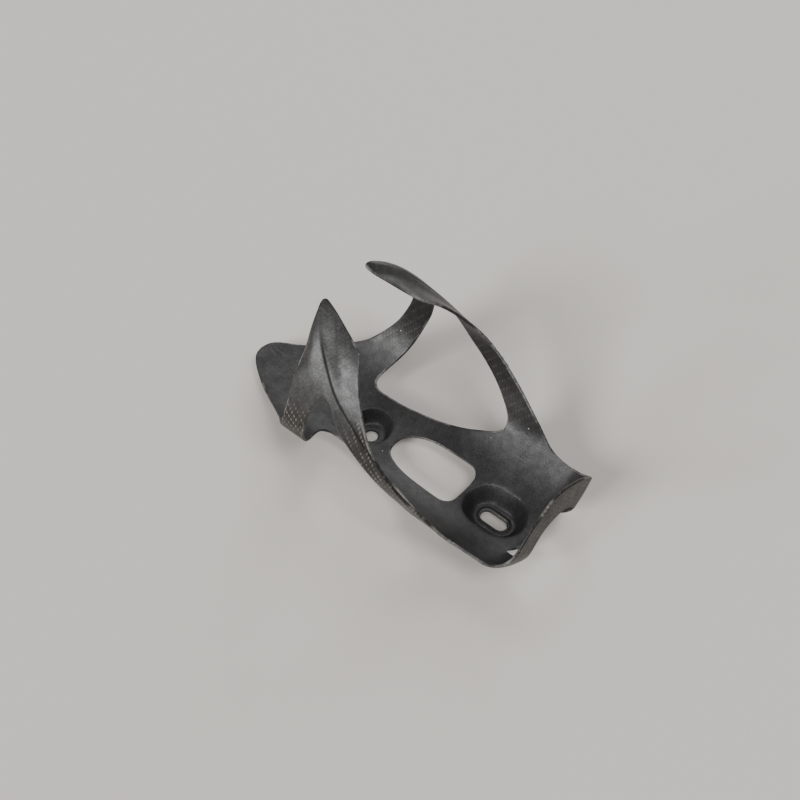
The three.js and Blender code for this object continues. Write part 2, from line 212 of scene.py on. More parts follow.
def curve(points):
    """Points along the uniform Catmull-Rom curve through the given points."""
    pts = np.array(points, float)
    count = len(pts)
    out = []
    for i in range(count - 1):
        p0, p1, p2, p3 = pts[max(i - 1, 0)], pts[i], pts[i + 1], pts[min(i + 2, count - 1)]
        v0, v1 = (p2 - p0) / 2, (p3 - p1) / 2
        cubic = 2 * p1 - 2 * p2 + v0 + v1
        square = -3 * p1 + 3 * p2 - 2 * v0 - v1
        for t in np.arange(CURVE_STEPS) / CURVE_STEPS:
            out.append(cubic * t**3 + square * t**2 + v0 * t + p1)
    out.append(pts[-1])
    return np.array(out)


def resampled(points, step=EDGE_STEP):
    """The same line with points an equal distance apart, about one step."""
    lengths = np.hypot(*np.diff(points, axis=0).T)
    along = np.concatenate([[0], np.cumsum(lengths)])
    count = max(int(round(along[-1] / step)), 1)
    places = np.linspace(0, along[-1], count + 1)
    return np.stack([np.interp(places, along, points[:, k]) for k in (0, 1)], 1)


def flat(points):
    """(m, a) places as flat (m, arc length) millimetres."""
    points = np.array(points, float)
    return np.stack([points[:, 0], np.radians(points[:, 1]) * BOTTLE_R], 1)


def flat_from_plan(points):
    """(m, y) places, as seen from straight above, as flat (m, arc length) millimetres."""
    points = np.array(points, float)
    return np.stack([points[:, 0], np.arcsin(points[:, 1] / BOTTLE_R) * BOTTLE_R], 1)


crease_line = curve(CREASE)


def crease_angle(m):
    """How far round the bottle the crease is, in degrees."""
    return np.interp(m, crease_line[:, 0], crease_line[:, 1])


def wing_offset(m, a):
    """How far the inner skin is outside the bottle's cylinder."""
    behind = a - crease_angle(m)
    flare = FLARE * smooth(a, *FLARE_A) * smooth(-m, *FLARE_UP)
    ahead = np.clip((LEVEL_START_M - m) / LEVEL_LENGTH, 0, 1)
    level = smooth(-behind, 0, LEVEL_A) * ahead * ahead
    rear = REAR_DROP * smooth(behind, 0, DROP_A) * (1 - smooth(m, *DROP_FADE_M))
    press = PRESS * smooth(a, *PRESS_A) * smooth(m, *PRESS_RISE_M) * (1 - smooth(m, *PRESS_FADE_M))
    return flare * (1 - level) - rear - press


def groove(m, a):
    """How much of the crease's groove there is at each place, from 0 to 1."""
    behind = np.radians(a - crease_angle(m)) * BOTTLE_R
    fade = smooth(a, *GROOVE_A) * (1 - smooth(m, *GROOVE_FADE_M)) * (1 - smooth(-m, *GROOVE_TIP_UP))
    return fade * np.exp(-((behind - GROOVE_WIDTH) / GROOVE_WIDTH) ** 2)


def seat_radius(x, y, seat):
    """Distance from the middle of a seat, or of the nearer end of its slot."""
    past_end = np.maximum(np.abs(x - UPPER_BOLT_X + seat["m"]) - seat["half"], 0)
    return np.hypot(past_end, y)


def press_seat(inner, outer, seat):
    """Presses one seat's cup into the floor by moving the two skins down to the tube."""
    radius = seat_radius(inner[:, 0], inner[:, 1], seat)
    flat_r, mouth_r = seat["flat_r"], seat["mouth_r"]
    near = (radius < mouth_r + WALL_SHIFT) & (np.abs(inner[:, 1]) < CUP_REACH_Y)
    rise = smooth(radius, flat_r, mouth_r)
    bottom = np.full(len(radius), SEAT_T)
    if seat["half"] > 0:
        bottom += COLLAR_H * (1 - smooth(radius, COLLAR_R - COLLAR_BEVEL, COLLAR_R + COLLAR_BEVEL))
    cup = bottom + (inner[:, 2] - bottom) * rise
    under = outer[:, 2] * smooth(radius, flat_r + WALL_SHIFT, mouth_r + WALL_SHIFT)
    inner[:, 2] = np.where(near, cup, inner[:, 2])
    outer[:, 2] = np.where(near, under, outer[:, 2])


def envelope(m, v, n):
    """Places (m, v) of the flat pattern, raised by n from the inner skin, in the frame's axes."""
    a = np.degrees(v / BOTTLE_R)
    side = np.where(a < 0, -1.0, 1.0)
    a = np.abs(a)
    angle = np.radians(a)
    turn = np.clip((m - FILLET_M) / BASE_FILLET, 0, None)
    straight = m <= FILLET_M
    x = np.where(straight, -m, -FILLET_M - (BASE_FILLET + n) * np.sin(turn))
    fillet_r = BOTTLE_R - BASE_FILLET + (BASE_FILLET + n) * np.cos(turn)
    r = np.where(straight, BOTTLE_R + wing_offset(m, a) + n, fillet_r)
    tongue = 1 - TONGUE_FLATTER * smooth(-m, *TONGUE_FLATTER_UP)
    lip = TONGUE_LIP * smooth(-m, *TONGUE_LIP_UP)
    rise = (r - n) * (1 - np.cos(angle)) * tongue + lip
    z = np.where(tongue < 1, FLOOR_Z - n + rise, AXIS_Z - r * np.cos(angle))
    return np.stack([x + UPPER_BOLT_X, side * r * np.sin(angle), z], 1)


def shell_skins(uv):
    """The inner and the outer skin's points over the trough, tongue and wings."""
    m, v = uv[:, 0], uv[:, 1]
    a = np.abs(np.degrees(v / BOTTLE_R))
    inner = envelope(m, v, np.zeros(len(m)))
    outer = envelope(m, v, SHELL_T - GROOVE_DEPTH * groove(m, a))
    for seat in SEATS:
        press_seat(inner, outer, seat)
    return inner, outer


def foot_skins(pq):
    """The inner and the outer skin's points of the foot."""
    p, q = pq[:, 0], pq[:, 1]
    along = np.hypot(p, q)
    flat_r = BOTTLE_R - BASE_FILLET
    turn = np.clip((along - flat_r) / BASE_FILLET, 0, math.pi / 2)
    skins = []
    for n in (0.0, SHELL_T):
        r = np.minimum(along, flat_r) + (BASE_FILLET + n) * np.sin(turn)
        x = -FILLET_M - (BASE_FILLET + n) * np.cos(turn)
        scale = r / np.maximum(along, SMALLEST_R)
        skins.append(np.stack([x + UPPER_BOLT_X, p * scale, AXIS_Z - q * scale], 1))
    return skins


# ---- the flat patterns ----
LEFT_TO_RIGHT = np.array([1.0, -1.0])  # swaps the sides of a place on the shell's pattern
FOOT_LEFT_TO_RIGHT = np.array([-1.0, 1.0])


def mirrored(line, swap=LEFT_TO_RIGHT):
    """The other side's line, with its points in the opposite order."""
    return line[::-1] * swap


def joined(*lines):
    """One line from several, without the points where they meet."""
    out = [lines[0]]
    for line in lines[1:]:
        start = 1 if np.hypot(*(line[0] - out[-1][-1])) < SAME_POINT else 0
        out.append(line[start:])
    return np.concatenate(out)


def ring(radius, half, centre_m):
    """A circle, or a stadium where half is above 0, as seen from straight above."""
    turn = (np.arange(RING_POINTS) + 0.5) / RING_POINTS * 2 * math.pi
    turn = np.append(turn, turn[0])
    m = centre_m + np.sign(np.cos(turn)) * half + radius * np.cos(turn)
    return flat_from_plan(resampled(np.stack([m, radius * np.sin(turn)], 1), RING_STEP))[:-1]


def seam_points():
    """Where the trough passes into the foot's strap: angles shared by both flat patterns."""
    count = int(round(math.radians(SIDE_END_A - STRAP_A) * BOTTLE_R / EDGE_STEP))
    return np.linspace(STRAP_A, SIDE_END_A, count + 1)


def corner_points():
    """From the seam to the drain window's corner, along the strap: also shared by both flat patterns."""
    return np.linspace(FILLET_M, CORNER_M, CORNER_STEPS)


def shell_outline():
    """The outline of the trough, tongue and wings: one side from the tongue's tip, then the other."""
    tongue = resampled(flat_from_plan(curve(TONGUE_HALF_WIDTH)))
    front = resampled(flat(curve(FRONT_EDGE)))
    front[0] = tongue[-1]
    blade = resampled(flat(curve(BLADE_REAR_EDGE)))
    strut = resampled(flat(curve(STRUT_REAR_EDGE)))
    seam = flat([(FILLET_M, a) for a in seam_points()[::-1]])
    strut[-1] = seam[0]
    strap = flat([(m, STRAP_A) for m in corner_points()])
    floor_angles = np.linspace(STRAP_A, 0, FLOOR_END_STEPS)
    bulge = (FLOOR_END_M - CORNER_M) * (1 - (floor_angles / STRAP_A) ** 2)
    floor_end = flat(np.stack([CORNER_M + bulge, floor_angles], 1))
    half = joined(tongue, front, blade, strut, seam, strap, floor_end)
    return joined(half, mirrored(half)[:-1])


def foot_place(r, a):
    """A place on the foot's pattern, from its distance and angle as seen from the axis."""
    return r * math.sin(math.radians(a)), r * math.cos(math.radians(a))


def foot_outline():
    """The foot's outline: one side from the middle of its inner edge, then the other."""
    seam = np.array([foot_place(FOOT_SEAM_R, a) for a in seam_points()])
    strap = np.array([foot_place(FOOT_SEAM_R + FILLET_M - m, STRAP_A) for m in corner_points()])
    rim = resampled(curve([seam[-1]] + FOOT_RIM))
    inner = resampled(curve([strap[-1]] + FOOT_INNER_EDGE))
    half = joined(inner[::-1], strap[::-1], seam, rim)
    return joined(half, mirrored(half, FOOT_LEFT_TO_RIGHT)[:-1])


def inside(points, loop):
    """Which of the points are inside a closed loop."""
    x, y = points[:, 0][:, None], points[:, 1][:, None]
    x0, y0 = loop[:, 0][None], loop[:, 1][None]
    x1, y1 = np.roll(loop[:, 0], -1)[None], np.roll(loop[:, 1], -1)[None]
    spans = (y0 > y) != (y1 > y)
    rise = np.where(y1 == y0, TINY, y1 - y0)
    return (spans & (x < (x1 - x0) * (y - y0) / rise + x0)).sum(1) % 2 == 1


def on_pattern(points, outline, holes):
    """Which of the points are inside the outline and outside every hole."""
    keep = inside(points, outline)
    for hole in holes:
        keep &= ~inside(points, hole)
    return keep


def tree_of(places):
    """A search tree of the places, numbered in their order."""
    tree = KDTree(len(places))
    for k, place in enumerate(places):
        tree.insert(place, k)
    tree.balance()
    return tree


def triangulate(outline, holes, loops, lines):
    """Fills a flat pattern with even triangles that keep every outline, hole, loop and line."""
    points, edges = [], []

    def add(line, closed):
        start = len(points)
        points.extend(line.tolist())
        edges.extend((start + k, start + k + 1) for k in range(len(line) - 1))
        if closed:
            edges.append((start + len(line) - 1, start))

    for loop in [outline] + holes + loops:
        add(loop, True)
    for line in lines:
        add(line, False)
    tree = tree_of([(x, y, 0) for x, y in points])
    low, high = outline.min(0), outline.max(0)
    rows = np.arange(low[1], high[1], GRID_STEP * math.sqrt(0.75))
    grid = []
    for j, y in enumerate(rows):
        xs = np.arange(low[0], high[0], GRID_STEP) + (j % 2) * GRID_STEP / 2
        grid.extend((x, y) for x in xs)
    grid = np.array(grid)
    for x, y in grid[on_pattern(grid, outline, holes)]:
        if tree.find((x, y, 0))[2] > GRID_CLEAR * GRID_STEP:
            points.append([x, y])
    result = delaunay_2d_cdt([Vector(p) for p in points], edges, [], 0, MERGE_DISTANCE)
    uv = np.array([tuple(v) for v in result[0]])
    faces = np.array([f for f in result[2]])
    return uv, faces[on_pattern(uv[faces].mean(1), outline, holes)]


def piece_of(m, a, x, y):
    """The CAD node that each place of the shell's pattern belongs to."""
    names = np.full(len(m), "back_plate", dtype=object)
    names[m < TONGUE_SEAM_M] = "top_tongue"
    (m0, a0), (m1, a1) = BLADE_SEAM
    above = np.abs(a) > a0 + (a1 - a0) * (m - m0) / (m1 - m0)
    for side, label in ((1, "left"), (-1, "right")):
        wing = (a * side > SEAM_A) & (m < WING_END_M)
        names[wing & above] = f"{label}_blade"
        names[wing & ~above & (m < APEX_M)] = f"{label}_short_arm"
        names[wing & ~above & (m >= APEX_M)] = f"{label}_long_arm"
    for seat in SEATS:
        inside_cup = seat_radius(x, y, seat) < SEAT_EDGE[seat["name"]]
        names[inside_cup & (np.abs(a) < SEAM_A)] = seat["name"]
    return names


def shell_pattern():
    """The shell's flat pattern: its outline, holes, the rings round the bolt holes, and inner lines."""
    outline = shell_outline()
    window = resampled(flat(curve(SIDE_WINDOW + SIDE_WINDOW[:1])))[:-1]
    centre = resampled(flat_from_plan(curve(CENTRE_WINDOW_HALF)))
    centre = joined(centre, mirrored(centre)[:-1])
    holes = [centre, window, mirrored(window)]
    loops = []
    for seat in SEATS:
        holes.append(ring(seat["hole"], seat["half"], seat["m"]))
        edge = SEAT_EDGE[seat["name"]]
        even = np.arange(seat["hole"] + RING_EVEN, edge, RING_STEP)
        for radius in [seat["hole"] + RING_FIRST, *even, edge]:
            loops.append(ring(radius, seat["half"], seat["m"]))
    lines = []
    crease = resampled(flat(crease_line), CREASE_STEP)
    crease = crease[crease[:, 0] < CREASE_LINES_END_M]
    for shift in CREASE_LINES:
        beside = crease + np.array([0, shift])
        lines.append(beside[on_pattern(beside, outline, holes)])
    seams = [
        [(WING_SEAM_START_M, SEAM_A), (WING_END_M, SEAM_A)],
        [(WING_END_M, SEAM_A), (WING_END_M, WING_SEAM_END_A)],
        BLADE_SEAM,
        [(APEX_M, a) for a in APEX_SEAM_A],
    ]
    for seam in seams:
        lines.extend(runs(resampled(flat(seam)), outline, holes))
    lines = lines + [line * LEFT_TO_RIGHT for line in lines]
    tongue_seam = [(TONGUE_SEAM_M, -TONGUE_SEAM_A), (TONGUE_SEAM_M, TONGUE_SEAM_A)]
    lines.extend(runs(resampled(flat(tongue_seam)), outline, holes))
    return outline, holes, loops, lines


def runs(line, outline, holes):
    """The stretches of a line that lie on the pattern."""
    out, current = [], []
    for point, good in zip(line, on_pattern(line, outline, holes)):
        if good:
            current.append(point)
        elif current:
            out.append(np.array(current))
            current = []
    if current:
        out.append(np.array(current))
    return [run for run in out if len(run) > 1]


# ---- one closed shell from the two patterns ----
def weave_showing(uv):
    """How clearly the weave shows at each place of the trough and wings, from 0 to 1."""
    m, a = uv[:, 0], np.abs(np.degrees(uv[:, 1] / BOTTLE_R))
    arm = smooth(a, *WEAVE_ARM_A) * (1 - WEAVE_ARM_LOSS * smooth(a, *WEAVE_ARM_LOSS_A))
    strut = WEAVE_STRUT * smooth(a, *WEAVE_STRUT_A) * smooth(m, *WEAVE_STRUT_M)
    strut = strut * (1 - smooth(a, *WEAVE_STRUT_FADE_A))
    return np.maximum(np.maximum(arm * (1 - smooth(m, *WEAVE_ARM_FADE_M)), strut), WEAVE_FAINT)


def foot_weave_showing(pq):
    """The same for the foot: faint at the seam with the trough, and clear further in."""
    from_seam = FOOT_SEAM_R - np.hypot(pq[:, 0], pq[:, 1])
    return WEAVE_FAINT + WEAVE_FOOT_GAIN * smooth(from_seam, *WEAVE_FOOT_FADE)


def mid_surface():
    """Both skins' places, the pattern's values, one set of triangles and the piece of each triangle."""
    uv, faces = triangulate(*shell_pattern())
    inner, outer = shell_skins(uv)
    middle = uv[faces].mean(1)
    place = inner[faces].mean(1)
    names = piece_of(middle[:, 0], np.degrees(middle[:, 1] / BOTTLE_R), place[:, 0], place[:, 1])
    pq, foot_faces = triangulate(foot_outline(), [], [], [])
    foot_inner, foot_outer = foot_skins(pq)
    laminate = np.concatenate([uv, np.stack([FILLET_M + FOOT_SEAM_R - pq[:, 1], pq[:, 0]], 1)])
    grooves = groove(uv[:, 0], np.abs(np.degrees(uv[:, 1] / BOTTLE_R)))
    marks = np.concatenate([
        np.stack([grooves, weave_showing(uv)], 1),
        np.stack([np.zeros(len(pq)), foot_weave_showing(pq)], 1),
    ])
    faces = np.concatenate([faces, foot_faces + len(uv)])
    inner = np.concatenate([inner, foot_inner])
    outer = np.concatenate([outer, foot_outer])
    names = np.concatenate([names, np.full(len(foot_faces), "bottom_stop", dtype=object)])
    return weld(inner, outer, np.concatenate([laminate, marks], 1), faces, names)


def weld(inner, outer, pattern, faces, names):
    """Joins places that coincide, so that the foot continues the trough."""
    tree = tree_of(inner)
    target = np.array([min(k for _, k, _ in tree.find_range(place, WELD_DISTANCE)) for place in inner])
    kept, index = np.unique(target, return_inverse=True)
    faces = index[faces]
    good = (faces[:, 0] != faces[:, 1]) & (faces[:, 1] != faces[:, 2]) & (faces[:, 2] != faces[:, 0])
    inner, outer = inner[kept], outer[kept]
    return inner, outer, pattern[kept], facing_out(inner, outer, faces[good]), names[good]


def facing_out(inner, outer, faces):
    """Turns every face so that its normal points from the inner to the outer skin."""
    corners = inner[faces]
    normal = np.cross(corners[:, 1] - corners[:, 0], corners[:, 2] - corners[:, 0])
    out = (outer[faces] - inner[faces]).mean(1)
    wrong = (normal * out).sum(1) < 0
    faces = faces.copy()
    faces[wrong] = faces[wrong][:, ::-1]
    return faces


def unit(vectors):
    return vectors / np.maximum(np.linalg.norm(vectors, axis=1, keepdims=True), TINY)


def free_edges(faces):
    """Directed edges that only one face has, each with that face's number."""
    owner = {}
    for number, (a, b, c) in enumerate(faces.tolist()):
        for edge in ((a, b), (b, c), (c, a)):
            owner[edge] = number
    return [(edge, number) for edge, number in owner.items() if edge[::-1] not in owner]


def edge_distance(places, edge_places):
    """Distance from each place to the nearest cut edge of the shell."""
    tree = tree_of(edge_places)
    return np.array([tree.find(place)[2] for place in places])


def closed_shell(inner, outer, pattern, faces, names):
    """Both skins and a rounded rim along every free edge, with what the materials read at each place.

    Returns the places, the pattern's values (m, arc length, depth, edge distance, groove, weave), the
    polygons, the piece of each polygon and the number of places on one skin.
    """
    count = len(inner)
    edges = free_edges(faces)
    after = {edge[0]: edge[1] for edge, _ in edges}
    before = {edge[1]: edge[0] for edge, _ in edges}
    rim = sorted(after)
    ahead = np.array([after[k] for k in rim])
    behind = np.array([before[k] for k in rim])
    rim = np.array(rim)
    centre = (inner + outer) / 2
    along = unit(centre[ahead] - centre[behind])
    normal = unit(outer[rim] - inner[rim])
    away = unit(np.cross(along, normal))
    half = np.linalg.norm(outer[rim] - inner[rim], axis=1, keepdims=True) / 2
    profile = []
    for angle in np.radians([-90.0] + RIM_ANGLES + [90.0]):
        inwards = RIM_ROUND * (1 - math.cos(angle)) * away
        profile.append(centre[rim] + half * math.sin(angle) * normal - inwards)
    distance = edge_distance(centre, centre[rim])
    inner, outer = inner.copy(), outer.copy()
    inner[rim], outer[rim] = profile[0], profile[-1]

    def values(index, depth, has_groove):
        grooves = pattern[index, 2] * has_groove
        return np.column_stack([
            pattern[index, :2], np.full(len(index), depth), distance[index], grooves, pattern[index, 3],
        ])

    everywhere = np.arange(count)
    places = [inner, outer]
    read = [values(everywhere, 0.0, 0.0), values(everywhere, SHELL_T, 1.0)]
    rows = [rim]
    for k, angle in enumerate(RIM_ANGLES):
        rows.append(2 * count + k * len(rim) + np.arange(len(rim)))
        places.append(profile[k + 1])
        read.append(values(rim, SHELL_T / 2 * (1 + math.sin(math.radians(angle))), 0.0))
    rows.append(rim + count)
    slot_of = {k: i for i, k in enumerate(rim.tolist())}
    polygons = [tuple(face[::-1]) for face in faces.tolist()]
    polygons += [tuple(index + count for index in face) for face in faces.tolist()]
    owners = list(names) + list(names)
    for (a, b), number in edges:
        i, j = slot_of[a], slot_of[b]
        for low, high in zip(rows[:-1], rows[1:]):
            polygons.append((int(low[i]), int(low[j]), int(high[j]), int(high[i])))
            owners.append(names[number])
    return np.concatenate(places), np.concatenate(read), polygons, owners, count


def vertex_normals(places, polygons):
    """Smooth normals of the whole shell, so that its pieces meet without a visible line."""
    total = np.zeros_like(places)
    for size in (3, 4):
        group = np.array([p for p in polygons if len(p) == size])
        corners = places[group]
        if size == 3:
            normal = np.cross(corners[:, 1] - corners[:, 0], corners[:, 2] - corners[:, 0])
        else:
            normal = np.cross(corners[:, 2] - corners[:, 0], corners[:, 3] - corners[:, 1])
        for column in range(size):
            np.add.at(total, group[:, column], normal)
    return unit(total)


def add_object(name, data):
    item = bpy.data.objects.new(name, data)
    bpy.context.scene.collection.objects.link(item)
    return item


def make_piece(node, shell, owners, normals):
    """One node's share of the shell, closed by a wall along its seams."""
    places, read, polygons, count, outer_edges = shell
    own = [polygon for polygon, owner in zip(polygons, owners) if owner == node]
    skin = np.array([p for p in own if len(p) == 3 and min(p) >= count]) - count
    walls = []
    for (a, b), _ in free_edges(skin):
        if (a, b) not in outer_edges:
            walls.append((a + count, a, b, b + count))
    used = sorted({index for polygon in own + walls for index in polygon})
    index = {old: new for new, old in enumerate(used)}
    faces = [tuple(index[k] for k in polygon) for polygon in own + walls]
    mesh = bpy.data.meshes.new(f"{node}_laminate")
    mesh.from_pydata((places[used] * MM).tolist(), [], faces)
    mesh.polygons.foreach_set("use_smooth", [True] * len(mesh.polygons))
    for name, columns in (("laminate", slice(0, 3)), ("marks", slice(3, 6))):
        attribute = mesh.attributes.new(name, "FLOAT_VECTOR", "POINT")
        attribute.data.foreach_set("vector", read[used][:, columns].astype(np.float32).ravel())
    mesh.normals_split_custom_set_from_vertices(normals[used].tolist())
    return add_object(f"{node}_laminate", mesh)


def build_shell():
    """Every piece of the laminate, by the name of the CAD node that it stands for."""
    inner, outer, pattern, faces, names = mid_surface()
    outer_edges = {edge for edge, _ in free_edges(faces)}
    places, read, polygons, owners, count = closed_shell(inner, outer, pattern, faces, names)
    normals = vertex_normals(places, polygons)
    shell = (places, read, polygons, count, outer_edges)
    return {node: make_piece(node, shell, owners, normals) for node in sorted(frame["nodes"])}


# ---- carbon ----
class Nodes:
    """Short calls for making a material's nodes."""

    def __init__(self, name):
        self.material = bpy.data.materials.new(name)
        self.material.use_nodes = True
        self.tree = self.material.node_tree
        self.shader = self.tree.nodes["Principled BSDF"]

    def link(self, value, socket):
        if isinstance(value, bpy.types.NodeSocket):
            self.tree.links.new(value, socket)
        else:
            socket.default_value = value

    def math(self, operation, a, b=0.0, clamp=False):
        node = self.tree.nodes.new("ShaderNodeMath")
        node.operation = operation
        node.use_clamp = clamp
        self.link(a, node.inputs[0])
        self.link(b, node.inputs[1])
        return node.outputs[0]

    def ramp(self, value, low, high, to_low=0.0, to_high=1.0):
        node = self.tree.nodes.new("ShaderNodeMapRange")
        node.interpolation_type = "SMOOTHSTEP"
        for name, number in (("From Min", low), ("From Max", high), ("To Min", to_low), ("To Max", to_high)):
            self.link(number, node.inputs[name])
        self.link(value, node.inputs["Value"])
        return node.outputs["Result"]

    def mix(self, share, a, b, blend="MIX"):
        node = self.tree.nodes.new("ShaderNodeMix")
        node.data_type = "RGBA"
        node.blend_type = blend
        self.link(share, node.inputs[0])
        self.link(a, node.inputs[6])
        self.link(b, node.inputs[7])
        return node.outputs[2]

    def noise(self, vector, scale, detail, roughness):
        node = self.tree.nodes.new("ShaderNodeTexNoise")
        for name, number in (("Scale", scale), ("Detail", detail), ("Roughness", roughness)):
            node.inputs[name].default_value = number
        self.link(vector, node.inputs["Vector"])
        return node.outputs["Fac"]

    def mapped(self, vector, turn=0.0, scale=(1.0, 1.0, 1.0), shift=(0.0, 0.0, 0.0)):
        node = self.tree.nodes.new("ShaderNodeMapping")
        node.inputs["Rotation"].default_value = (0.0, 0.0, math.radians(turn))
        node.inputs["Scale"].default_value = scale
        node.inputs["Location"].default_value = shift
        self.link(vector, node.inputs["Vector"])
        return node.outputs["Vector"]

    def parts(self, vector):
        node = self.tree.nodes.new("ShaderNodeSeparateXYZ")
        self.link(vector, node.inputs[0])
        return node.outputs

    def arch(self, value):
        """From 0 up to 1 and back as the value goes from 0 to 1."""
        return self.math("SINE", self.math("MULTIPLY", value, math.pi))

    def attribute(self, name):
        node = self.tree.nodes.new("ShaderNodeAttribute")
        node.attribute_name = name
        return node.outputs["Vector"]


TOW = 1.2  # width of one bundle of fibres, in millimetres
GREY_RESIN = (0.025, 0.025, 0.026, 1.0)
BLACK_RESIN = (0.010, 0.010, 0.011, 1.0)
BARE_WEAVE_AND_SHADE = (0.008, 0.007, 0.006, 1.0)  # bare weave between the bundles, where there is no resin on top; also painted shade on the downward-facing arm roots and foot
# Painted sheen: the floating bundles' crowns, made pale as if they caught the light, over the twill's real
# pattern.
PALE_FIBRE_SHEEN = (0.140, 0.132, 0.116, 1.0)
WORN_EDGE = (0.220, 0.212, 0.200, 1.0)
RUBBED = (0.140, 0.140, 0.138, 1.0)
# Painted shade: near black along the crease's groove, where the fold lies in shade.
CREASE_SHADE = (0.006, 0.006, 0.006, 1.0)
SPECK = (0.560, 0.550, 0.530, 1.0)

# How far each of them covers what is below it.
BARE_WEAVE_AND_SHADE_SHARE = 0.8
FIBRE_SHEEN_SHARE = 1.1
RUBBED_SHARE = 0.3
WORN_SHARE = 0.6
SPECK_SHARE = 0.7

# Noise over the laminate: scale per millimetre, detail and roughness.
CLOUDS = (0.07, 4.0, 0.6)
GRAIN = (1.6, 3.0, 0.7)
WEAVE_PATCHES = (0.22, 3.0, 0.5)
STROKES = (1.0, 3.0, 0.6)
RUBBED_PATCHES = (0.045, 2.0, 0.5)
WORN_PATCHES = (0.05, 3.0, 0.6)
CHIPS = (0.8, 3.0, 0.7)
CLEAN_PATCHES = (0.3, 3.0, 0.6)

# The patches are shifted so that no two kinds lie in the same places.
WEAVE_SHIFT = (31.0, 7.0, 0.0)
RUBBED_SHIFT = (12.0, 40.0, 3.0)
WORN_SHIFT = (5.0, 9.0, 0.0)
CLEAN_SHIFT = (3.0, 17.0, 0.0)

# Soft steps: the value where each begins and ends, and the results there if they aren't 0 and 1.
WEAVE_PATCH_STEP = (0.36, 0.6, 0.2, 1.0)
WEAVE_DEPTH_STEP = (0.2, 1.0, 0.3, 1.0)  # the weave is fainter on the inner skin
STROKE_STEP = (0.56, 0.72)
RUBBED_PATCH_STEP = (0.50, 0.66)
WORN_WIDTH_STEP = (0.05, 0.4, 1.0, 0.0)
WORN_PATCH_STEP = (0.47, 0.58)
CHIP_STEP = (0.36, 0.6, 0.35, 1.0)
CREASE_SHADE_GRAIN_STEP = (0.3, 0.55, 0.6, 1.0)
SPECK_STEP = (0.03, 0.055, 1.0, 0.0)
GLOSS_GRAIN_STEP = (0.3, 0.7, 0.68, 1.2)
GLOSS_CLEAN_STEP = (0.3, 0.7, 0.75, 1.2)
GLOSS_DEPTH_STEP = (0.2, 1.0, 0.78, 1.0)
GLOSS_CREASE_SHADE_STEP = (0.0, 0.8, 1.0, 0.35)

STROKE_TURN = 8.0  # degrees
STROKE_SCALE = (0.10, 1.5, 1.0)
SPECK_SCALE = 0.16
SPECK_RARITY = 0.9  # the share of the cells that have no speck
FLOAT_SHARPNESS = 1.4  # how narrow the painted sheen along a floating bundle's middle is
WEFT_SHEEN = 0.2  # painted sheen of the crossing bundles, as a share of that of the floating ones
WEFT_HEIGHT = 0.6
CLOUD_CONTRAST = 1.3
GRAIN_CONTRAST = 1.1
CLOUD_ROUGHNESS = 0.3
WORN_ROUGHNESS = 0.25
RESIN_IOR = 1.5
RESIN_GLOSS = 0.6
WEAVE_GLOSS_LOSS = 0.5
GRAIN_RELIEF = 0.45
BUMP_STRENGTH = 0.5
BUMP_METRES = 0.0001


def twill(nodes, place, turn):
    """A two over two twill: the painted sheen of each bundle where it floats on top, and the weave's height.
    """
    per_tow = (1 / TOW, 1 / TOW, 1 / TOW)
    x, y, _ = nodes.parts(nodes.mapped(place, turn, per_tow))
    column, row = nodes.math("FLOOR", x), nodes.math("FLOOR", y)
    across_x, across_y = nodes.math("FRACT", x), nodes.math("FRACT", y)
    phase = nodes.math("FLOORED_MODULO", nodes.math("ADD", column, row), 4.0)
    warp_up = nodes.math("LESS_THAN", phase, 2.0)

    def spot(across, along):
        return nodes.math("MULTIPLY", nodes.arch(across), nodes.arch(nodes.math("MULTIPLY", along, 0.5)))

    warp = spot(across_x, nodes.math("ADD", phase, across_y))
    weft = spot(across_y, nodes.math("ADD", nodes.math("SUBTRACT", phase, 2.0), across_x))
    on_top = nodes.math("MULTIPLY", nodes.math("POWER", warp, FLOAT_SHARPNESS), warp_up)
    below = nodes.math("MULTIPLY", weft, nodes.math("SUBTRACT", 1.0, warp_up))
    float_sheen = nodes.math("ADD", on_top, nodes.math("MULTIPLY", below, WEFT_SHEEN))
    return float_sheen, nodes.math("ADD", on_top, nodes.math("MULTIPLY", below, WEFT_HEIGHT))


def specks(nodes, place):
    """A few pale specks of dust and chipped resin, about half a millimetre wide."""
    cells = nodes.tree.nodes.new("ShaderNodeTexVoronoi")
    cells.inputs["Scale"].default_value = SPECK_SCALE
    nodes.link(place, cells.inputs["Vector"])
    rare = nodes.math("GREATER_THAN", nodes.parts(cells.outputs["Color"])[0], SPECK_RARITY)
    return nodes.math("MULTIPLY", nodes.ramp(cells.outputs["Distance"], *SPECK_STEP), rare)


def scuffs(nodes, place):
    """Short pale strokes that the bottle has rubbed along the cage, in patches."""
    strokes = nodes.noise(nodes.mapped(place, STROKE_TURN, STROKE_SCALE), *STROKES)
    patches = nodes.noise(nodes.mapped(place, shift=RUBBED_SHIFT), *RUBBED_PATCHES)
    strokes = nodes.ramp(strokes, *STROKE_STEP)
    return nodes.math("MULTIPLY", strokes, nodes.ramp(patches, *RUBBED_PATCH_STEP))


def edge_wear(nodes, place, distance):
    """The cut edge and the skin right beside it, where the resin is chipped, in some places only."""
    beside = nodes.ramp(distance, *WORN_WIDTH_STEP)
    patches = nodes.noise(nodes.mapped(place, shift=WORN_SHIFT), *WORN_PATCHES)
    some = nodes.ramp(patches, *WORN_PATCH_STEP)
    chips = nodes.ramp(nodes.noise(place, *CHIPS), *CHIP_STEP)
    return nodes.math("MULTIPLY", nodes.math("MULTIPLY", beside, some), chips)


